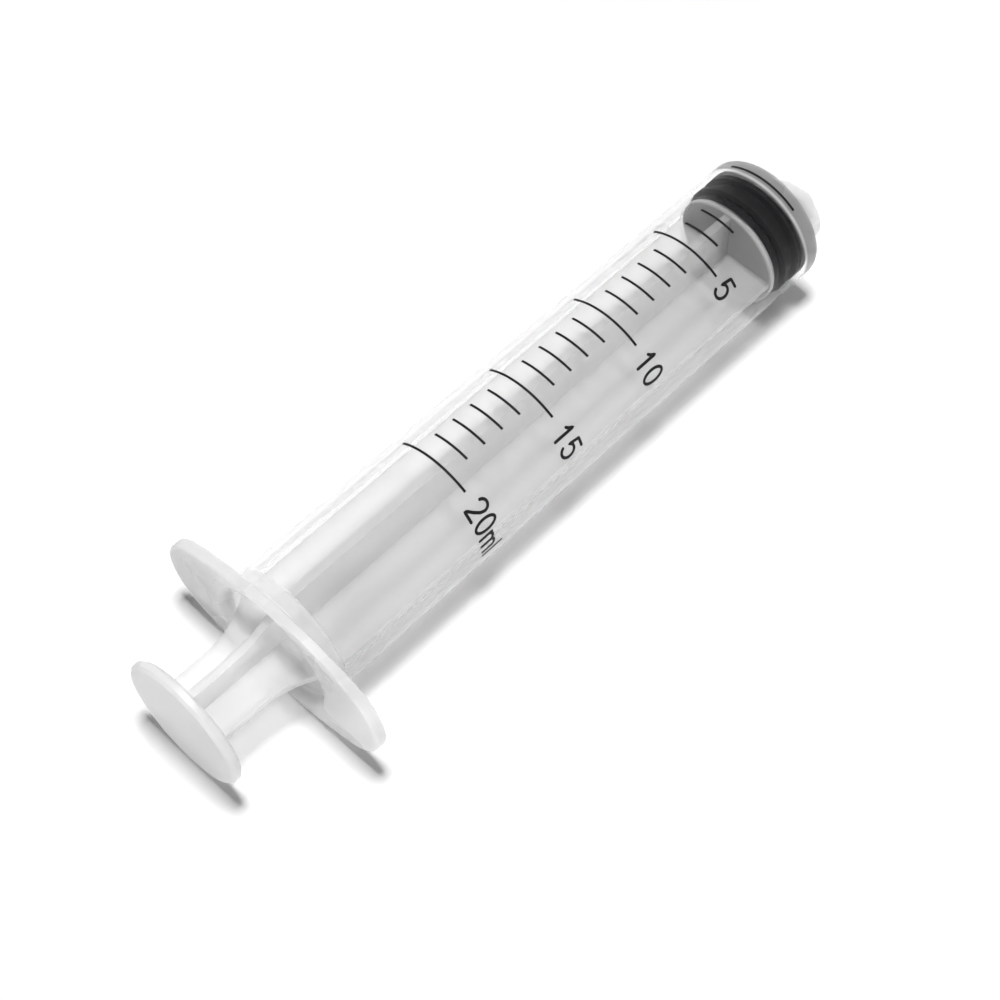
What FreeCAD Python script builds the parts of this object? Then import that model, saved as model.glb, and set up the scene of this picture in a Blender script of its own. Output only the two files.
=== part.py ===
import FreeCAD
import Part
import math
import os

# A 20 ml disposable syringe with an off-centre luer lock, lying on its side.
# Every size is in millimetres. While it is modelled, the axis of the barrel is the X axis,
# x = 0 is the thumb side of the finger flange, the tip points along +X and +Z is up.
# At the end all solids move together, so that the origin is under the middle of the syringe.

# barrel
bore_radius = 9.62
wall = 0.88
zero_mark_x = 101.0
front_wall = 1.45
nose_depth = 1.2
nose_flat_radius = 1.8
front_crown = 0.5
shoulder_round = 1.2
sleeve_length = 2.45
sleeve_step = 0.1
bead_x = 3.5
bead_height = 0.12
bead_width = 1.2
bead_crest = 0.4
mouth_round = 1.3

# finger flange
flange_half_length = 20.6
flange_half_height = 10.7
flange_end_radius = 8.5
flange_thickness = 1.85
flange_edge_round = 0.4
flange_front_chamfer = 0.2

# luer tip and lock collar
tip_offset = 4.7
tip_end_radius = 1.985
tip_taper = 0.03
tip_proud = 2.6
tip_edge_chamfer = 0.2
channel_radius = 1.2
collar_outer_radius = 5.4
collar_inner_radius = 4.0
collar_length = 7.3
collar_floor = 0.5
collar_chamfer = 0.4
collar_root = 0.9

# stopper
seal_clearance = 0.04
rest_gap = 1.0
stopper_length = 5.64
nose_clearance = 0.15
ridge_width = 0.8
ridge_flank = 0.45
ridge_gap = 1.15
groove_depth = 0.85
rear_body_step = 0.5
rear_body_width = 1.1
nose_edge = 0.3

# plunger rod
disc_gap = 0.06
front_disc_thickness = 1.0
front_disc_clearance = 0.47
front_disc_chamfer = 0.2
rib_thickness = 1.3
rib_clearance = 0.72
neck_half_width = 5.6
neck_end_x = -7.0
flare_end_x = 3.0
neck_root_round = 1.5
thumb_disc_radius = 10.3
thumb_disc_thickness = 1.7
thumb_disc_chamfer = 0.45
thumb_face_x = -16.2
stem_radius = 2.6
stem_length = 1.7
head_radius = 4.0
head_length = 2.0
head_chamfer = 0.8
socket_clearance = 0.08

# sizes that follow from the ones above
barrel_radius = bore_radius + wall
bore_end_x = zero_mark_x + nose_clearance
front_x = bore_end_x + nose_depth + front_wall - front_crown
tip_base_x = front_x + front_crown
collar_end_x = front_x + collar_length
tip_end_x = collar_end_x + tip_proud
stopper_front_x = zero_mark_x - rest_gap
stopper_rear_x = stopper_front_x - stopper_length
seal_radius = bore_radius - seal_clearance
disc_front_x = stopper_rear_x - disc_gap
disc_rear_x = disc_front_x - front_disc_thickness
front_disc_radius = bore_radius - front_disc_clearance
rib_half_width = bore_radius - rib_clearance
head_rear_x = disc_front_x + stem_length
head_front_x = head_rear_x + head_length
thumb_front_x = thumb_face_x + thumb_disc_thickness
middle_x = (thumb_face_x + tip_end_x) / 2
past = 1.0

axis_origin = FreeCAD.Vector(0, 0, 0)
x_axis = FreeCAD.Vector(1, 0, 0)


# a point of a turned profile: x along the axis, r out from it
def at(x, r):
    return FreeCAD.Vector(x, r, 0)


def line(start, end):
    return Part.LineSegment(start, end).toShape()


def arc(start, middle, end):
    return Part.Arc(start, middle, end).toShape()


# straight edges through the points, in order
def run(points):
    return [line(a, b) for a, b in zip(points, points[1:])]


# turns a closed profile about the X axis into a solid
def turned(edges):
    face = Part.Face(Part.Wire(edges))
    return face.revolve(axis_origin, x_axis, 360)


def rod_along_x(radius, start_x, end_x, centre_z=0.0):
    return Part.makeCylinder(radius, end_x - start_x, FreeCAD.Vector(start_x, 0, centre_z), x_axis)


# circular edges of a solid that lie at one x and have one radius
def rims(solid, x, radius):
    found = []
    for edge in solid.Edges:
        circle = edge.Curve
        if isinstance(circle, Part.Circle) and abs(circle.Radius - radius) < 1e-4:
            if abs(circle.Center.x - x) < 1e-4:
                found.append(edge)
    return found


# the middle of a quarter circle that rounds the corner between two perpendicular lines
def quarter_middle(centre, radius, side_x, side_r):
    reach = radius * math.sqrt(0.5)
    return at(centre.x + side_x * reach, centre.y + side_r * reach)


# all edges of a plate that lie flat at one x
def rim_at(plate, x):
    found = []
    for edge in plate.Edges:
        box = edge.BoundBox
        if box.XLength < 1e-6 and abs(box.XMin - x) < 1e-4:
            found.append(edge)
    return found


# the flange: a wide arc above and below between two tighter end arcs, all tangent
def flange_plate():
    end_centre = flange_half_length - flange_end_radius
    rise = flange_half_height - flange_end_radius
    drop = (end_centre ** 2 - rise ** 2) / (2 * rise)
    side_radius = flange_half_height + drop
    turn = math.atan2(drop, end_centre)
    touch_y = side_radius * math.cos(turn)
    touch_z = side_radius * math.sin(turn) - drop

    def spot(y, z):
        return FreeCAD.Vector(0, y, z)

    outline = Part.Wire([
        arc(spot(touch_y, touch_z), spot(0, flange_half_height), spot(-touch_y, touch_z)),
        arc(spot(-touch_y, touch_z), spot(-flange_half_length, 0), spot(-touch_y, -touch_z)),
        arc(spot(-touch_y, -touch_z), spot(0, -flange_half_height), spot(touch_y, -touch_z)),
        arc(spot(touch_y, -touch_z), spot(flange_half_length, 0), spot(touch_y, touch_z)),
    ])
    plate = Part.Face(outline).extrude(FreeCAD.Vector(flange_thickness, 0, 0))
    plate = plate.makeFillet(flange_edge_round, rim_at(plate, 0))
    return plate.makeChamfer(flange_front_chamfer, rim_at(plate, flange_thickness))


# tube with the rounded shoulder and the slightly crowned front wall
def barrel_shell():
    round_centre = at(front_x - shoulder_round, barrel_radius - shoulder_round)
    edges = run([at(0, 0), at(0, barrel_radius), at(front_x - shoulder_round, barrel_radius)])
    edges.append(arc(at(front_x - shoulder_round, barrel_radius),
                     quarter_middle(round_centre, shoulder_round, 1, 1),
                     at(front_x, barrel_radius - shoulder_round)))
    edges += run([at(front_x, barrel_radius - shoulder_round), at(tip_base_x, 0), at(0, 0)])
    return turned(edges)


# short thicker sleeve in front of the flange
def sleeve():
    radius = barrel_radius + sleeve_step
    end_x = flange_thickness + sleeve_length
    return rod_along_x(radius, flange_thickness / 2, end_x)


# what is taken out of the barrel: rounded mouth, bore with its stop bead, coned end
def bore_void():
    mouth_centre = at(mouth_round, bore_radius + mouth_round)
    bead_start = bead_x - bead_width / 2
    bead_end = bead_x + bead_width / 2
    edges = run([at(-past, 0), at(-past, bore_radius + mouth_round), at(0, bore_radius + mouth_round)])
    edges.append(arc(at(0, bore_radius + mouth_round),
                     quarter_middle(mouth_centre, mouth_round, -1, -1),
                     at(mouth_round, bore_radius)))
    bead_radius = bore_radius - bead_height
    edges += run([at(mouth_round, bore_radius), at(bead_start, bore_radius),
                  at(bead_x - bead_crest / 2, bead_radius), at(bead_x + bead_crest / 2, bead_radius),
                  at(bead_end, bore_radius), at(bore_end_x, bore_radius),
                  at(bore_end_x + nose_depth, nose_flat_radius), at(bore_end_x + nose_depth, 0),
                  at(-past, 0)])
    return turned(edges)


# lock collar: a skirt round the tip, off the axis by tip_offset
def lock_collar():
    skirt = rod_along_x(collar_outer_radius, front_x - collar_root, collar_end_x, -tip_offset)
    skirt = skirt.makeChamfer(collar_chamfer / 2, rims(skirt, collar_end_x, collar_outer_radius))
    hollow = rod_along_x(collar_inner_radius, tip_base_x + collar_floor, collar_end_x, -tip_offset)
    lead = Part.makeCone(collar_inner_radius, collar_inner_radius + collar_chamfer, collar_chamfer,
                         FreeCAD.Vector(collar_end_x - collar_chamfer, 0, -tip_offset), x_axis)
    return skirt.cut(hollow).cut(lead)


# male taper, wider towards its root
def luer_tip():
    root_x = front_x - collar_root
    root_radius = tip_end_radius + tip_taper * (tip_end_x - root_x)
    cone = Part.makeCone(root_radius, tip_end_radius, tip_end_x - root_x,
                         FreeCAD.Vector(root_x, 0, -tip_offset), x_axis)
    return cone.makeChamfer(tip_edge_chamfer, rims(cone, tip_end_x, tip_end_radius))


def barrel():
    body = barrel_shell().fuse([flange_plate(), sleeve(), lock_collar(), luer_tip()])
    body = body.cut(bore_void())
    body = body.cut(rod_along_x(channel_radius, bore_end_x, tip_end_x + past, -tip_offset))
    return body.removeSplitter()


# one sealing ridge of the stopper, from its rear groove to its front shoulder
def ridge(front):
    rear = front - ridge_width
    groove_radius = seal_radius - groove_depth
    return [at(rear - ridge_flank, groove_radius), at(rear, seal_radius), at(front, seal_radius)]


def stopper():
    groove_radius = seal_radius - groove_depth
    rear_radius = seal_radius - rear_body_step
    rear_ridge_x = stopper_front_x - ridge_width - 2 * ridge_flank - ridge_gap
    nose_slope = nose_depth / (bore_radius - nose_flat_radius)
    nose_top = seal_radius - nose_edge
    nose_x = stopper_front_x + nose_slope * (nose_top - nose_flat_radius)
    neck_radius = stem_radius + socket_clearance
    pocket_radius = head_radius + socket_clearance
    pocket_x = head_rear_x - socket_clearance
    pocket_end_x = head_front_x + socket_clearance
    profile = [at(stopper_rear_x, neck_radius), at(stopper_rear_x, rear_radius),
               at(stopper_rear_x + rear_body_width, rear_radius)]
    profile += ridge(rear_ridge_x)
    profile.append(at(rear_ridge_x + ridge_flank, groove_radius))
    profile += ridge(stopper_front_x)
    profile += [at(stopper_front_x, nose_top), at(nose_x, nose_flat_radius), at(nose_x, 0),
                at(pocket_end_x, 0), at(pocket_end_x, pocket_radius), at(pocket_x, pocket_radius),
                at(pocket_x, neck_radius), at(stopper_rear_x, neck_radius)]
    return turned(run(profile))


# one rib plate across the axis: its half outline mirrored, standing in the XZ plane
def rib_plate():
    def spot(x, z):
        return FreeCAD.Vector(x, 0, z)

    root_x = thumb_front_x - thumb_disc_thickness / 2
    flare = flare_end_x - neck_end_x
    widen = rib_half_width - neck_half_width
    flare_radius = (flare ** 2 + widen ** 2) / (2 * widen)
    half_turn = math.asin(flare / flare_radius) / 2
    flare_mid = (neck_end_x + flare_radius * math.sin(half_turn),
                 neck_half_width + flare_radius * (1 - math.cos(half_turn)))
    root_mid = neck_root_round * (1 - math.sqrt(0.5))
    edges = []
    for side in (1, -1):
        wide = neck_half_width + neck_root_round
        edges.append(line(spot(root_x, 0), spot(root_x, side * wide)))
        edges.append(line(spot(root_x, side * wide), spot(thumb_front_x, side * wide)))
        edges.append(arc(spot(thumb_front_x, side * wide),
                         spot(thumb_front_x + root_mid, side * (neck_half_width + root_mid)),
                         spot(thumb_front_x + neck_root_round, side * neck_half_width)))
        edges.append(line(spot(thumb_front_x + neck_root_round, side * neck_half_width),
                          spot(neck_end_x, side * neck_half_width)))
        edges.append(arc(spot(neck_end_x, side * neck_half_width), spot(flare_mid[0], side * flare_mid[1]),
                         spot(flare_end_x, side * rib_half_width)))
        edges.append(line(spot(flare_end_x, side * rib_half_width),
                          spot(disc_front_x, side * rib_half_width)))
        edges.append(line(spot(disc_front_x, side * rib_half_width), spot(disc_front_x, 0)))
    outline = Part.Wire(Part.__sortEdges__(edges))
    plate = Part.Face(outline).extrude(FreeCAD.Vector(0, rib_thickness, 0))
    plate.translate(FreeCAD.Vector(0, -rib_thickness / 2, 0))
    return plate


def plunger_rod():
    upright = rib_plate()
    level = rib_plate()
    level.rotate(axis_origin, x_axis, 90)
    thumb_disc = rod_along_x(thumb_disc_radius, thumb_face_x, thumb_front_x)
    thumb_rims = rims(thumb_disc, thumb_face_x, thumb_disc_radius)
    thumb_rims += rims(thumb_disc, thumb_front_x, thumb_disc_radius)
    thumb_disc = thumb_disc.makeChamfer(thumb_disc_chamfer, thumb_rims)
    front_disc = rod_along_x(front_disc_radius, disc_rear_x, disc_front_x)
    front_rim = rims(front_disc, disc_rear_x, front_disc_radius)
    front_disc = front_disc.makeChamfer(front_disc_chamfer, front_rim)
    stem = rod_along_x(stem_radius, disc_rear_x, head_rear_x + head_length / 2)
    head = rod_along_x(head_radius, head_rear_x, head_front_x)
    head = head.makeChamfer(head_chamfer, rims(head, head_front_x, head_radius))
    return upright.fuse([level, thumb_disc, front_disc, stem, head]).removeSplitter()


# moves a finished solid onto the table and writes it
def write(name, solid):
    solid.translate(FreeCAD.Vector(-middle_x, 0, flange_half_height))
    body = solid.Solids[0]
    print(name, "solids", len(solid.Solids), "valid", solid.isValid(), "volume", round(solid.Volume, 1))
    body.exportStep("parts/" + name + ".step")


os.makedirs("parts", exist_ok=True)
write("barrel", barrel())
write("plunger_rod", plunger_rod())
write("rubber_stopper", stopper())
print("axis height", flange_half_height, "flange face at x", round(-middle_x, 3))
print("forward travel", round(zero_mark_x - stopper_front_x, 3),
      "back travel", round(disc_rear_x - bead_x - bead_width / 2, 3))
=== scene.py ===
import math
import bpy
from mathutils import Matrix, Vector


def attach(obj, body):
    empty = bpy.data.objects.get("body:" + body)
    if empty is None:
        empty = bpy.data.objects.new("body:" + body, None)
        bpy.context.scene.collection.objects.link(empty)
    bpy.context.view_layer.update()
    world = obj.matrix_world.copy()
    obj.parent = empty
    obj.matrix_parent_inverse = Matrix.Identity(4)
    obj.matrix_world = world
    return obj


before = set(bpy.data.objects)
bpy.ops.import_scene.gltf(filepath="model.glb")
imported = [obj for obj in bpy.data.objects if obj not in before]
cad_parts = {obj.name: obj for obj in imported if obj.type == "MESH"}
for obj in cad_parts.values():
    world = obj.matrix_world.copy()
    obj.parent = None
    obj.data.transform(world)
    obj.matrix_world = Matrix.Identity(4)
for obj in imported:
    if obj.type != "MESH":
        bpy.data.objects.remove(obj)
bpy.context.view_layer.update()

# lengths are in millimetres in this script and turned to metres by mm
mm = 0.001
axisHeight = 10.7
flangeX = -48.5  # x of the flange's thumb side in the shared frame
barrelRadius = 10.5


def deselectAll():
    if bpy.context.object and bpy.context.object.mode != "OBJECT":
        bpy.ops.object.mode_set(mode="OBJECT")
    bpy.ops.object.select_all(action="DESELECT")


def makeActive(obj):
    deselectAll()
    obj.select_set(True)
    bpy.context.view_layer.objects.active = obj


def joinPieces(parts, name):
    deselectAll()
    for part in parts:
        part.select_set(True)
    bpy.context.view_layer.objects.active = parts[0]
    if len(parts) > 1:
        bpy.ops.object.join()
    joined = bpy.context.object
    joined.name = name
    joined.data.name = name
    return joined


def cleanMesh(obj, mergeDistance=0.00001 * mm):
    makeActive(obj)
    bpy.ops.object.mode_set(mode="EDIT")
    bpy.ops.mesh.select_all(action="SELECT")
    bpy.ops.mesh.remove_doubles(threshold=mergeDistance)
    bpy.ops.mesh.normals_make_consistent(inside=False)
    bpy.ops.object.mode_set(mode="OBJECT")


def finishPiece(obj, body, material, smoothAngle=35):
    makeActive(obj)
    bpy.ops.object.transform_apply(location=True, rotation=True, scale=True)
    bpy.ops.object.shade_smooth_by_angle(angle=math.radians(smoothAngle))
    obj.data.materials.clear()
    obj.data.materials.append(material)
    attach(obj, body)


def addSocket(group, name, kind, inOut, value=None):
    socket = group.interface.new_socket(name=name, in_out=inOut, socket_type=kind)
    if value is not None:
        socket.default_value = value
    return socket


moulding = {
    "flowStretch": 0.35,  # melt flow runs along the part
    "cloudDetail": 2.0,
    "grainDetail": 1.0,
    "cloudLow": 0.3,      # the part of the noise that is spread over the whole range
    "cloudHigh": 0.7,
    "bumpDepth": 0.02,
}


# cloudy variation and fine speckle, as a moulded plastic has it
def makeMouldedGroup():
    group = bpy.data.node_groups.new("mouldedSurface", "ShaderNodeTree")
    addSocket(group, "Cloud Scale", "NodeSocketFloat", "INPUT", 60.0)
    addSocket(group, "Grain Scale", "NodeSocketFloat", "INPUT", 2500.0)
    addSocket(group, "Low", "NodeSocketFloat", "INPUT", 0.2)
    addSocket(group, "High", "NodeSocketFloat", "INPUT", 0.3)
    addSocket(group, "Height", "NodeSocketFloat", "OUTPUT")
    addSocket(group, "Roughness", "NodeSocketFloat", "OUTPUT")
    addSocket(group, "Cloud", "NodeSocketFloat", "OUTPUT")
    nodes, links = group.nodes, group.links
    inputs = nodes.new("NodeGroupInput")
    outputs = nodes.new("NodeGroupOutput")
    coords = nodes.new("ShaderNodeTexCoord")
    stretch = nodes.new("ShaderNodeMapping")
    stretch.inputs["Scale"].default_value = (moulding["flowStretch"], 1.0, 1.0)
    cloud = nodes.new("ShaderNodeTexNoise")
    cloud.inputs["Detail"].default_value = moulding["cloudDetail"]
    grain = nodes.new("ShaderNodeTexNoise")
    grain.inputs["Detail"].default_value = moulding["grainDetail"]
    spread = nodes.new("ShaderNodeMapRange")
    links.new(coords.outputs["Object"], stretch.inputs["Vector"])
    links.new(stretch.outputs["Vector"], cloud.inputs["Vector"])
    links.new(coords.outputs["Object"], grain.inputs["Vector"])
    links.new(inputs.outputs["Cloud Scale"], cloud.inputs["Scale"])
    links.new(inputs.outputs["Grain Scale"], grain.inputs["Scale"])
    links.new(cloud.outputs["Fac"], spread.inputs["Value"])
    spread.inputs["From Min"].default_value = moulding["cloudLow"]
    spread.inputs["From Max"].default_value = moulding["cloudHigh"]
    links.new(inputs.outputs["Low"], spread.inputs["To Min"])
    links.new(inputs.outputs["High"], spread.inputs["To Max"])
    links.new(spread.outputs["Result"], outputs.inputs["Roughness"])
    links.new(grain.outputs["Fac"], outputs.inputs["Height"])
    links.new(cloud.outputs["Fac"], outputs.inputs["Cloud"])
    return group


mouldedGroup = makeMouldedGroup()


def newMaterial(name):
    material = bpy.data.materials.new(name)
    material.use_nodes = True
    nodes, links = material.node_tree.nodes, material.node_tree.links
    return material, nodes, links, nodes["Principled BSDF"]


def newMath(nodes, operation, second=None):
    node = nodes.new("ShaderNodeMath")
    node.operation = operation
    if second is not None:
        node.inputs[1].default_value = second
    return node


# a value or grey that changes along the part: (x, value) pairs, x from the thumb side of the flange
def alongPart(nodes, links, pairs):
    coords = nodes.new("ShaderNodeTexCoord")
    split = nodes.new("ShaderNodeSeparateXYZ")
    reach = nodes.new("ShaderNodeMapRange")
    firstX, lastX = pairs[0][0], pairs[-1][0]
    reach.inputs["From Min"].default_value = (firstX + flangeX) * mm
    reach.inputs["From Max"].default_value = (lastX + flangeX) * mm
    ramp = nodes.new("ShaderNodeValToRGB")
    while len(ramp.color_ramp.elements) < len(pairs):
        ramp.color_ramp.elements.new(1.0)
    for element, (x, value) in zip(ramp.color_ramp.elements, pairs):
        element.position = (x - firstX) / (lastX - firstX)
        element.color = (value, value, value, 1)
    links.new(coords.outputs["Object"], split.inputs["Vector"])
    links.new(split.outputs["X"], reach.inputs["Value"])
    links.new(reach.outputs["Result"], ramp.inputs["Fac"])
    return ramp.outputs["Color"]


# puts the moulded group in a material: colour between two tones, roughness and perhaps a faint bump
def addMoulded(nodes, links, shader, look):
    moulded = nodes.new("ShaderNodeGroup")
    moulded.node_tree = mouldedGroup
    moulded.inputs["Cloud Scale"].default_value = look["cloudScale"]
    moulded.inputs["Grain Scale"].default_value = look["grainScale"]
    moulded.inputs["Low"].default_value = look["roughness"][0]
    moulded.inputs["High"].default_value = look["roughness"][1]
    ramp = nodes.new("ShaderNodeValToRGB")
    ramp.color_ramp.elements[0].position = moulding["cloudLow"]
    ramp.color_ramp.elements[0].color = (*look["dark"], 1)
    ramp.color_ramp.elements[1].position = moulding["cloudHigh"]
    ramp.color_ramp.elements[1].color = (*look["light"], 1)
    colour = ramp.outputs["Color"]
    # painted shade: the colour is darkened by a grey that changes along the part
    if "paintedShade" in look:
        shaded = nodes.new("ShaderNodeMix")
        shaded.data_type = "RGBA"
        shaded.blend_type = "MULTIPLY"
        shaded.inputs["Factor"].default_value = 1.0
        links.new(colour, shaded.inputs["A"])
        links.new(alongPart(nodes, links, look["paintedShade"]), shaded.inputs["B"])
        colour = shaded.outputs["Result"]
    links.new(moulded.outputs["Cloud"], ramp.inputs["Fac"])
    links.new(colour, shader.inputs["Base Color"])
    links.new(moulded.outputs["Roughness"], shader.inputs["Roughness"])
    if "bump" in look:
        bump = nodes.new("ShaderNodeBump")
        bump.inputs["Strength"].default_value = look["bump"]
        bump.inputs["Distance"].default_value = moulding["bumpDepth"] * mm
        links.new(moulded.outputs["Height"], bump.inputs["Height"])
        links.new(bump.outputs["Normal"], shader.inputs["Normal"])


# thin plastic is see-through face on and closes towards its edges, and shows only the face
# where sight enters it; the light that it lets by is set apart from that, for a pale shadow
def makeSeeThrough(nodes, links, shader, look):
    path = nodes.new("ShaderNodeLightPath")
    edge = nodes.new("ShaderNodeLayerWeight")
    edge.inputs["Blend"].default_value = 0.5
    cap = newMath(nodes, "MINIMUM", look["edgeCap"])
    steep = newMath(nodes, "POWER", look["edgePower"])
    shadowCap = newMath(nodes, "MINIMUM", look["shadowEdge"])
    face = nodes.new("ShaderNodeNewGeometry")
    closing = nodes.new("ShaderNodeMapRange")
    entering = newMath(nodes, "SUBTRACT")
    entering.inputs[0].default_value = 1.0
    seen = newMath(nodes, "MULTIPLY")
    faceOn = newMath(nodes, "SUBTRACT")
    faceOn.inputs[0].default_value = 1.0
    passing = newMath(nodes, "MULTIPLY")
    blocking = newMath(nodes, "SUBTRACT")
    blocking.inputs[0].default_value = 1.0
    alpha = nodes.new("ShaderNodeMapRange")
    links.new(edge.outputs["Facing"], cap.inputs[0])
    links.new(cap.outputs["Value"], steep.inputs[0])
    links.new(steep.outputs["Value"], closing.inputs["Value"])
    links.new(alongPart(nodes, links, look["faceOn"]), closing.inputs["To Min"])
    links.new(alongPart(nodes, links, look["onEdge"]), closing.inputs["To Max"])
    links.new(face.outputs["Backfacing"], entering.inputs[1])
    links.new(closing.outputs["Result"], seen.inputs[0])
    links.new(entering.outputs["Value"], seen.inputs[1])
    links.new(steep.outputs["Value"], shadowCap.inputs[0])
    links.new(shadowCap.outputs["Value"], faceOn.inputs[1])
    links.new(alongPart(nodes, links, look["lightShare"]), passing.inputs[0])
    links.new(faceOn.outputs["Value"], passing.inputs[1])
    links.new(passing.outputs["Value"], blocking.inputs[1])
    links.new(path.outputs["Is Shadow Ray"], alpha.inputs["Value"])
    links.new(seen.outputs["Value"], alpha.inputs["To Min"])
    links.new(blocking.outputs["Value"], alpha.inputs["To Max"])
    links.new(alpha.outputs["Result"], shader.inputs["Alpha"])


clearLook = {
    "light": (0.95, 0.95, 0.95),
    "dark": (0.93, 0.93, 0.93),
    "roughness": (0.24, 0.3),
    "cloudScale": 90.0,
    "grainScale": 2600.0,
    "subsurface": 1.0,
    "radius": (2.0, 2.0, 2.0),
    "edgePower": 2.8,
    "edgeCap": 0.85,
    "shadowEdge": 0.18,
    # painted shade: the flange and sleeve are painted darker, the solid front wall is painted dark grey in
    # place of the black stopper seen through it by refraction, and the luer end is painted grey for its
    # shade
    "paintedShade": ((-1, 0.8), (4.25, 0.8), (4.4, 1.0), (100.15, 1.0), (100.3, 0.27), (102.9, 0.27),
              (103.5, 0.5), (105, 0.7), (115, 0.8)),
    "faceOn": ((-1, 0.8), (1.8, 0.8), (2.0, 0.45), (4.25, 0.45), (4.35, 0.008), (99.95, 0.008),
               (100.05, 0.6), (100.2, 0.6), (100.3, 0.88), (103.3, 0.88), (104.2, 0.65), (115, 0.65)),
    "onEdge": ((-1, 0.95), (4.25, 0.9), (4.35, 0.8), (90, 0.8), (94, 0.3), (99.8, 0.3), (100.1, 0.9),
               (115, 0.9)),
    "lightShare": ((-1, 0.1), (1.9, 0.1), (2.2, 0.7), (4.3, 0.7), (4.6, 0.86), (99.5, 0.86), (100.2, 0.1),
                   (104.0, 0.1), (105, 0.6), (115, 0.6)),
}


def makePlastic(name, look):
    material, nodes, links, shader = newMaterial(name)
    addMoulded(nodes, links, shader, look)
    shader.inputs["Subsurface Weight"].default_value = look["subsurface"]
    shader.inputs["Subsurface Radius"].default_value = look["radius"]
    shader.inputs["Subsurface Scale"].default_value = mm
    makeSeeThrough(nodes, links, shader, look)
    return material


milkyLook = {
    "light": (0.97, 0.97, 0.97),
    "dark": (0.94, 0.94, 0.94),
    "roughness": (0.3, 0.4),
    "cloudScale": 110.0,
    "grainScale": 2200.0,
    "bump": 0.03,
    "subsurface": 1.0,
    "radius": (3.0, 3.0, 3.0),
    "edgePower": 2.0,
    "edgeCap": 0.95,
    "shadowEdge": 0.9,
    # painted shade: the thumb disc and the neck are painted darker, and the rod is painted darker towards
    # the stopper in place of the black rubber's reflection in it
    "paintedShade": ((-20, 0.8), (-14.4, 0.8), (-13, 0.92), (4, 0.96), (8, 1.0), (20, 1.0), (60, 0.96), (85, 0.86),
              (96, 0.8)),
    # the rim of the front disc is denser than its faces
    "faceOn": ((-20, 0.85), (-14.6, 0.85), (-14.4, 0.6), (1.0, 0.55), (5.0, 0.52), (93.2, 0.52),
               (93.25, 0.42), (93.35, 0.42), (93.5, 0.9), (94.2, 0.9), (94.27, 0.3), (96, 0.3)),
    "onEdge": ((-20, 0.98), (-14.6, 0.98), (-14.4, 0.65), (1.0, 0.55), (5.0, 0.48), (93.2, 0.48),
               (93.3, 0.45), (93.35, 0.45), (93.5, 0.95), (96, 0.95)),
    "lightShare": ((-20, 0.05), (-14.8, 0.05), (-14.5, 0.72), (93.2, 0.76), (93.4, 0.1), (96, 0.1)),
}


rubberLook = {
    "light": (0.011, 0.011, 0.012),
    "dark": (0.007, 0.007, 0.008),
    "roughness": (0.45, 0.6),
    "cloudScale": 300.0,
    "grainScale": 5000.0,
    "bump": 0.15,
    "specular": 0.15,
}


inkLook = {
    "light": (0.012, 0.012, 0.013),
    "dark": (0.007, 0.007, 0.008),
    "roughness": (0.4, 0.6),
    "cloudScale": 900.0,
    "grainScale": 9000.0,
    "bump": 0.1,
    "specular": 0.15,
}


def makeBlack(name, look):
    material, nodes, links, shader = newMaterial(name)
    addMoulded(nodes, links, shader, look)
    shader.inputs["Specular IOR Level"].default_value = look["specular"]
    return material


clearMaterial = makePlastic("clearPolypropylene", clearLook)
milkyMaterial = makePlastic("milkyPolypropylene", milkyLook)
rubberMaterial = makeBlack("blackRubber", rubberLook)
inkMaterial = makeBlack("scaleInk", inkLook)

for nodeName, material in (("barrel", clearMaterial), ("plunger_rod", milkyMaterial),
                           ("rubber_stopper", rubberMaterial)):
    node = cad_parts[nodeName]
    node.data.materials.clear()
    node.data.materials.append(material)
print("mouldings have their materials")

scale = {
    "zeroX": 101.0,       # zero line, from the thumb side of the flange
    "spacing": 3.44,      # 1 ml
    "count": 21,
    "lineWidth": 0.4,
    "inkThickness": 0.03,
    "inkLift": 0.004,
    "longStart": 36.5,    # degrees round from the top, towards +Y
    "longEnd": -34.0,
    "shortStart": 18.4,
    "shortEnd": -16.2,
    "skew": -0.0535,      # degrees per mm along the barrel
    "skewX": 65.0,
    "stepAngle": 2.0,
}


# one line: a flat rectangle spun part of the way round the barrel's axis
def makeTick(number):
    x = scale["zeroX"] - number * scale["spacing"]
    isLong = number % 5 == 0
    turn = scale["skew"] * (x - scale["skewX"])
    startAngle = (scale["longStart"] if isLong else scale["shortStart"]) + turn
    endAngle = (scale["longEnd"] if isLong else scale["shortEnd"]) + turn
    radius = barrelRadius + scale["inkLift"] + scale["inkThickness"] / 2
    centre = Vector(((x + flangeX) * mm, 0, axisHeight * mm))
    bpy.ops.mesh.primitive_plane_add(size=1, location=centre, rotation=(math.pi / 2, 0, 0))
    tick = bpy.context.object
    tick.scale = (scale["lineWidth"] * mm, scale["inkThickness"] * mm, 1)
    bpy.ops.object.transform_apply(location=False, rotation=True, scale=True)
    bpy.ops.object.mode_set(mode="EDIT")
    bpy.ops.mesh.select_all(action="SELECT")
    bpy.ops.transform.translate(value=(0, 0, radius * mm))
    bpy.ops.object.mode_set(mode="OBJECT")
    tick.rotation_euler.x = -math.radians(startAngle)
    bpy.ops.object.transform_apply(location=False, rotation=True, scale=False)
    bpy.ops.object.mode_set(mode="EDIT")
    bpy.ops.mesh.select_all(action="SELECT")
    sweep = math.radians(startAngle - endAngle)
    steps = max(4, round(math.degrees(sweep) / scale["stepAngle"]))
    bpy.ops.mesh.spin(steps=steps, angle=-sweep, center=centre, axis=(1, 0, 0))
    bpy.ops.object.mode_set(mode="OBJECT")
    return tick


deselectAll()
ticks = []
for number in range(scale["count"]):
    deselectAll()
    ticks.append(makeTick(number))
scaleLines = joinPieces(ticks, "scale_lines")
cleanMesh(scaleLines)
finishPiece(scaleLines, "barrel_body", inkMaterial)
print("scale lines:", len(scaleLines.data.polygons), "faces")

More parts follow.
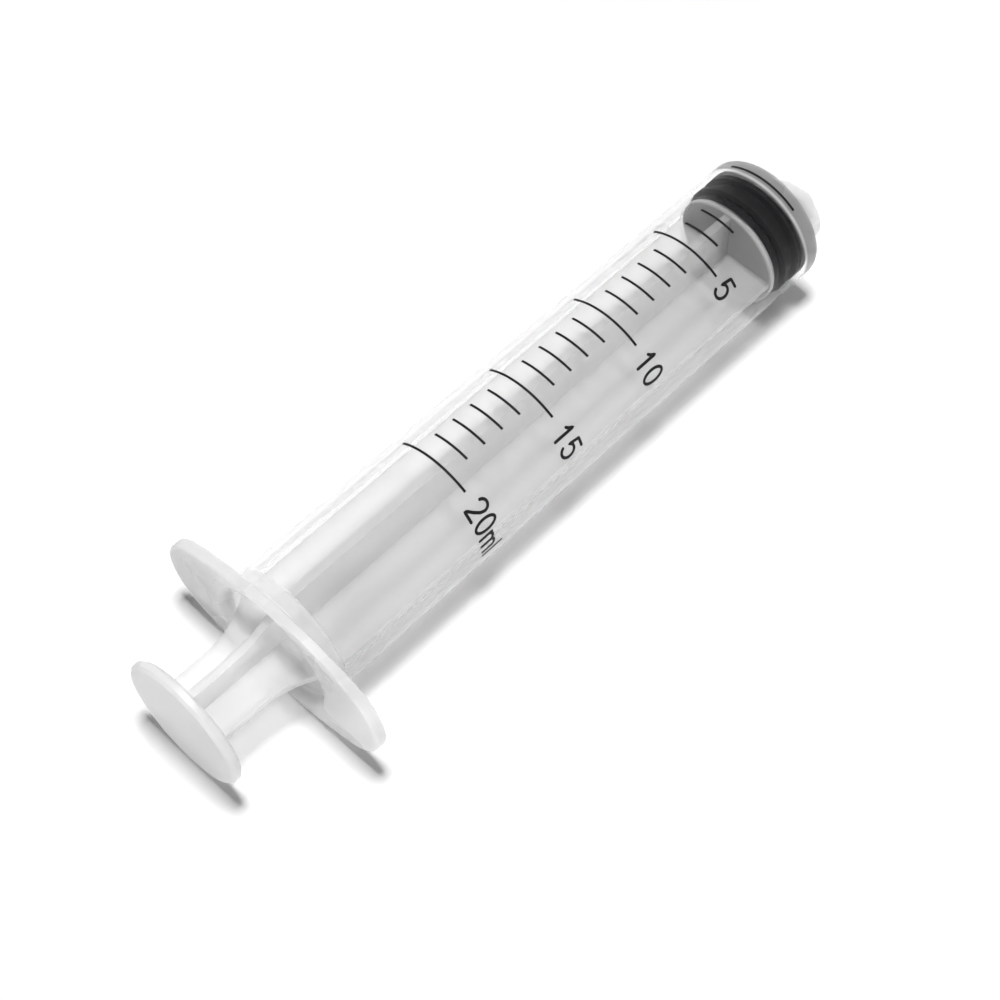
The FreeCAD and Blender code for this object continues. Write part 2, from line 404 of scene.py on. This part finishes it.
numerals = {
    "height": 3.65,       # middle of the bottom stroke to the middle of the top one
    "width": 1.8,
    "stroke": 0.5,
    "pitch": 2.68,
    "xHeight": 2.35,
    "sample": 0.2,
    "places": (("20ml", 32.2, -42.3), ("15", 49.4, -42.3), ("10", 66.6, -42.0), ("5", 83.8, -41.0)),
}


def arcPoints(centreX, centreY, radiusX, radiusY, startDegrees, endDegrees):
    steps = max(6, int(abs(endDegrees - startDegrees) / 12))
    points = []
    for i in range(steps + 1):
        a = math.radians(startDegrees + (endDegrees - startDegrees) * i / steps)
        points.append((centreX + radiusX * math.cos(a), centreY + radiusY * math.sin(a)))
    return points


# the pen strokes of one character, from its lower left corner
def glyphStrokes(character):
    w, h, xh = numerals["width"], numerals["height"], numerals["xHeight"]
    if character == "0":
        return [arcPoints(w / 2, h / 2, w / 2, h / 2, 90, 450)], w
    if character == "1":
        return [[(0.25 * w, 0.72 * h), (0.45 * w, 0.82 * h), (0.62 * w, h), (0.62 * w, 0)]], w
    if character == "2":
        top = arcPoints(w / 2, h - w / 2, w / 2, w / 2, 170, -20)
        return [top + [(0.86 * w, 0.52 * h), (0.5 * w, 0.3 * h), (0.08 * w, 0.1 * h), (0, 0), (w, 0)]], w
    if character == "5":
        bowl = arcPoints(0.47 * w, 0.33 * h, 0.53 * w, 0.33 * h, 128, -150)
        return [[(0.92 * w, h), (0.2 * w, h), (0.06 * w, 0.5 * h), (0.16 * w, 0.58 * h)] + bowl], w
    if character == "m":
        first = arcPoints(0.22 * w * 1.55, xh - 0.22 * w * 1.55, 0.22 * w * 1.55, 0.22 * w * 1.55, 180, 0)
        reach = 0.44 * w * 1.55
        second = [(x + reach, y) for x, y in first]
        return [[(0, 0), (0, xh)], first + [(reach, 0)], second + [(2 * reach, 0)]], 2 * reach
    return [[(0, 0), (0, h)]], 0.0


# adds points to long straight runs, so that they can follow the barrel's curve
def resample(points):
    fine = [points[0]]
    for start, end in zip(points, points[1:]):
        length = math.hypot(end[0] - start[0], end[1] - start[1])
        pieces = max(1, math.ceil(length / numerals["sample"]))
        for i in range(1, pieces + 1):
            t = i / pieces
            fine.append((start[0] + (end[0] - start[0]) * t, start[1] + (end[1] - start[1]) * t))
    return fine


# a pen stroke with round ends, as a curve with a round bevel
def makeStroke(points):
    fine = resample(points)
    closed = math.hypot(fine[0][0] - fine[-1][0], fine[0][1] - fine[-1][1]) < 1e-6
    half = numerals["stroke"] / 2
    places = [(p, 1.0) for p in fine]
    if closed:
        places = places[:-1]
    else:
        for end, inner, front in ((fine[0], fine[1], True), (fine[-1], fine[-2], False)):
            length = math.hypot(end[0] - inner[0], end[1] - inner[1])
            away = ((end[0] - inner[0]) / length, (end[1] - inner[1]) / length)
            caps = [((end[0] + away[0] * half * t, end[1] + away[1] * half * t), math.sqrt(1 - t * t))
                    for t in (0.5, 0.8, 0.95)]
            places = caps[::-1] + places if front else places + caps
    curve = bpy.data.curves.new("stroke", "CURVE")
    curve.dimensions = "3D"
    curve.bevel_depth = half
    curve.bevel_resolution = 2
    curve.use_fill_caps = True
    spline = curve.splines.new("POLY")
    spline.points.add(len(places) - 1)
    for point, (place, radius) in zip(spline.points, places):
        point.co = (place[0], place[1], 0, 1)
        point.radius = radius
    spline.use_cyclic_u = closed
    stroke = bpy.data.objects.new("stroke", curve)
    bpy.context.scene.collection.objects.link(stroke)
    return stroke


# wraps flat strokes on the barrel: text runs round it, with the tops of the characters towards the tip
def wrapOnBarrel(obj, x, startDegrees):
    for vertex in obj.data.vertices:
        along, up, lift = vertex.co
        angle = math.radians(startDegrees) - along / barrelRadius
        flat = scale["inkLift"] + scale["inkThickness"] * (0.5 + 0.5 * lift / (numerals["stroke"] / 2))
        r = barrelRadius + flat
        place = Vector((x + flangeX + up - numerals["height"] / 2, r * math.sin(angle),
                        axisHeight + r * math.cos(angle)))
        vertex.co = place * mm


words = []
for text, x, startDegrees in numerals["places"]:
    strokes = []
    cursor = numerals["stroke"] / 2
    for character in text:
        lines, width = glyphStrokes(character)
        for points in lines:
            strokes.append(makeStroke([(cursor + px, py) for px, py in points]))
        cursor += width + numerals["pitch"] - numerals["width"]
    deselectAll()
    for stroke in strokes:
        stroke.select_set(True)
    bpy.context.view_layer.objects.active = strokes[0]
    bpy.ops.object.convert(target="MESH")
    word = joinPieces(strokes, "word")
    wrapOnBarrel(word, x, startDegrees)
    words.append(word)
scaleNumbers = joinPieces(words, "scale_numbers")
cleanMesh(scaleNumbers)
finishPiece(scaleNumbers, "barrel_body", inkMaterial, 60)
print("scale numbers:", len(scaleNumbers.data.polygons), "faces")

lockThread = {
    "lead": 5.0,
    "turns": 0.95,
    "starts": 2,
    "wallRadius": 4.0,
    "crestRadius": 3.5,
    "rootWidth": 1.1,
    "crestWidth": 0.45,
    "sink": 0.12,         # depth of the root in the wall
    "startX": 104.9,
    "axisDrop": 4.7,
    "steps": 72,
}


# one start of the thread: a ridge profile carried round and along by a Screw modifier
def makeThreadStart(index):
    centre = ((lockThread["startX"] + flangeX) * mm, 0, (axisHeight - lockThread["axisDrop"]) * mm)
    bpy.ops.mesh.primitive_plane_add(size=1, location=(0, 0, 0))
    ridge = bpy.context.object
    root = lockThread["wallRadius"] + lockThread["sink"]
    corners = [(0, root), (lockThread["rootWidth"], root),
               ((lockThread["rootWidth"] + lockThread["crestWidth"]) / 2, lockThread["crestRadius"]),
               ((lockThread["rootWidth"] - lockThread["crestWidth"]) / 2, lockThread["crestRadius"])]
    angle = 2 * math.pi * index / lockThread["starts"]
    for vertex, (x, r) in zip(ridge.data.vertices, corners):
        vertex.co = Vector((x, r * math.cos(angle), r * math.sin(angle))) * mm
    ridge.data.polygons[0].vertices = (0, 1, 2, 3)
    screw = ridge.modifiers.new("lead", "SCREW")
    screw.axis = "X"
    screw.angle = 2 * math.pi * lockThread["turns"]
    screw.screw_offset = lockThread["lead"] * lockThread["turns"] * mm
    screw.steps = screw.render_steps = lockThread["steps"]
    screw.use_merge_vertices = False
    makeActive(ridge)
    bpy.ops.object.modifier_apply(modifier=screw.name)
    bpy.ops.object.mode_set(mode="EDIT")
    bpy.ops.mesh.select_all(action="SELECT")
    bpy.ops.mesh.remove_doubles(threshold=0.001 * mm)
    bpy.ops.mesh.fill_holes(sides=4)
    bpy.ops.mesh.normals_make_consistent(inside=False)
    bpy.ops.object.mode_set(mode="OBJECT")
    ridge.location = centre
    return ridge


starts = []
for index in range(lockThread["starts"]):
    deselectAll()
    starts.append(makeThreadStart(index))
thread = joinPieces(starts, "lock_thread")
finishPiece(thread, "barrel_body", clearMaterial)
print("lock thread:", len(thread.data.polygons), "faces")

# lengths of the stage are in metres
stage = {
    "floorSize": 3.0,
    "floorDrop": 0.00002,
    "floorColour": 0.96,
    "floorBounce": 0.82,  # the floor's colour for the light that it throws back on the syringe
    "floorRoughness": 0.9,
    "floorGlow": 0.03,
    "ambient": 0.05,
    "zenith": 0.15,       # what gloss sees overhead, and it sees white near the horizon
    "skyLow": 0.25,       # heights between which the one turns to the other
    "skyHigh": 0.7,
    "lampPower": 9.1,
    "lampSize": 0.2,
    "lampHeight": 1.0,
    "fillPower": 10.5,    # low and to the side, for the upright faces
    "fillSize": 0.6,
    "fillPlace": (-1.2, -1.2, 0.28),
    "frontPower": 4.5,    # low, for the luer end
    "frontSize": 0.6,
    "frontPlace": (1.4, 0.1, 0.3),
}


# what the lamp's light lacks on the floor, from 0 below it towards 1 far away
def farGlow(nodes, links):
    coords = nodes.new("ShaderNodeTexCoord")
    length = nodes.new("ShaderNodeVectorMath")
    length.operation = "LENGTH"
    reach = newMath(nodes, "DIVIDE", stage["lampHeight"])
    square = newMath(nodes, "POWER", 2.0)
    grown = newMath(nodes, "ADD", 1.0)
    light = newMath(nodes, "POWER", -2.0)
    lack = newMath(nodes, "SUBTRACT")
    lack.inputs[0].default_value = 1.0
    glow = newMath(nodes, "ADD", stage["floorGlow"])
    links.new(coords.outputs["Object"], length.inputs[0])
    links.new(length.outputs["Value"], reach.inputs[0])
    links.new(reach.outputs["Value"], square.inputs[0])
    links.new(square.outputs["Value"], grown.inputs[0])
    links.new(grown.outputs["Value"], light.inputs[0])
    links.new(light.outputs["Value"], lack.inputs[1])
    links.new(lack.outputs["Value"], glow.inputs[0])
    return glow.outputs["Value"]


# the floor is lit plainly and shows white to the camera, and keeps the shadow
def makeFloor():
    deselectAll()
    bpy.ops.mesh.primitive_plane_add(size=stage["floorSize"], location=(0, 0, -stage["floorDrop"]))
    floor = bpy.context.object
    floor.name = "floor"
    bpy.ops.object.transform_apply(location=True, rotation=True, scale=True)
    material, nodes, links, shader = newMaterial("paleFloor")
    pale = seenDirectly(nodes, links, stage["floorBounce"], stage["floorColour"])
    links.new(pale, shader.inputs["Base Color"])
    shader.inputs["Roughness"].default_value = stage["floorRoughness"]
    shader.inputs["Specular IOR Level"].default_value = 0.0
    shader.inputs["Emission Color"].default_value = (1, 1, 1, 1)
    glow = newMath(nodes, "MULTIPLY")
    links.new(farGlow(nodes, links), glow.inputs[0])
    links.new(seenDirectly(nodes, links, 0.0, 1.0), glow.inputs[1])
    links.new(glow.outputs["Value"], shader.inputs["Emission Strength"])
    floor.data.materials.append(material)


# high for rays that show the background, low for the ones that light the object
def seenDirectly(nodes, links, low, high):
    path = nodes.new("ShaderNodeLightPath")
    first = newMath(nodes, "MAXIMUM")
    second = newMath(nodes, "MAXIMUM")
    strength = nodes.new("ShaderNodeMapRange")
    strength.inputs["To Min"].default_value = low
    strength.inputs["To Max"].default_value = high
    links.new(path.outputs["Is Camera Ray"], first.inputs[0])
    links.new(path.outputs["Is Glossy Ray"], first.inputs[1])
    links.new(first.outputs["Value"], second.inputs[0])
    links.new(path.outputs["Is Transmission Ray"], second.inputs[1])
    links.new(second.outputs["Value"], strength.inputs["Value"])
    return strength.outputs["Result"]


def makeWorld():
    world = bpy.data.worlds.new("studio")
    bpy.context.scene.world = world
    world.use_nodes = True
    nodes, links = world.node_tree.nodes, world.node_tree.links
    background = nodes["Background"]
    background.inputs["Color"].default_value = (1, 1, 1, 1)
    coords = nodes.new("ShaderNodeTexCoord")
    split = nodes.new("ShaderNodeSeparateXYZ")
    sky = nodes.new("ShaderNodeMapRange")
    sky.interpolation_type = "SMOOTHSTEP"
    sky.inputs["From Min"].default_value = stage["skyLow"]
    sky.inputs["From Max"].default_value = stage["skyHigh"]
    sky.inputs["To Min"].default_value = 1.0
    sky.inputs["To Max"].default_value = stage["zenith"]
    strength = newMath(nodes, "MULTIPLY")
    level = newMath(nodes, "MAXIMUM", stage["ambient"])
    links.new(coords.outputs["Generated"], split.inputs["Vector"])
    links.new(split.outputs["Z"], sky.inputs["Value"])
    links.new(seenDirectly(nodes, links, 0.0, 1.0), strength.inputs[0])
    links.new(sky.outputs["Result"], strength.inputs[1])
    links.new(strength.outputs["Value"], level.inputs[0])
    links.new(level.outputs["Value"], background.inputs["Strength"])


def makeLamp(name, power, size, place):
    data = bpy.data.lights.new(name, "AREA")
    data.shape = "SQUARE"
    data.size = size
    data.energy = power
    lamp = bpy.data.objects.new(name, data)
    lamp.location = place
    lamp.rotation_euler = Vector(place).to_track_quat("Z", "Y").to_euler()
    bpy.context.scene.collection.objects.link(lamp)


makeFloor()
makeWorld()
makeLamp("overhead", stage["lampPower"], stage["lampSize"], (0, 0, stage["lampHeight"]))
makeLamp("fill", stage["fillPower"], stage["fillSize"], stage["fillPlace"])
makeLamp("front", stage["frontPower"], stage["frontSize"], stage["frontPlace"])
print("stage is set")

cameraPlace = {
    "position": (-0.12592, -0.121522, 0.275313),
    "right": (0.69488, -0.71907, -0.00954),
    "up": (0.61515, 0.58748, 0.52579),
    "back": (-0.37247, -0.37123, 0.85056),
    "lens": 79.5,
    "sensor": 36.0,
    "near": 0.01,
    "far": 10.0,
}


def makeCamera():
    data = bpy.data.cameras.new("camera")
    data.lens = cameraPlace["lens"]
    data.sensor_width = cameraPlace["sensor"]
    data.clip_start = cameraPlace["near"]
    data.clip_end = cameraPlace["far"]
    camera = bpy.data.objects.new("camera", data)
    columns = [Vector(cameraPlace[k]) for k in ("right", "up", "back")]
    turn = Matrix(columns).transposed().to_quaternion()
    camera.rotation_mode = "QUATERNION"
    camera.rotation_quaternion = turn
    camera.location = cameraPlace["position"]
    bpy.context.scene.collection.objects.link(camera)
    bpy.context.scene.camera = camera


makeCamera()
bpy.context.scene.view_settings.view_transform = "Standard"
bpy.context.scene.cycles.transparent_max_bounces = 32
bpy.context.scene.cycles.max_bounces = 6
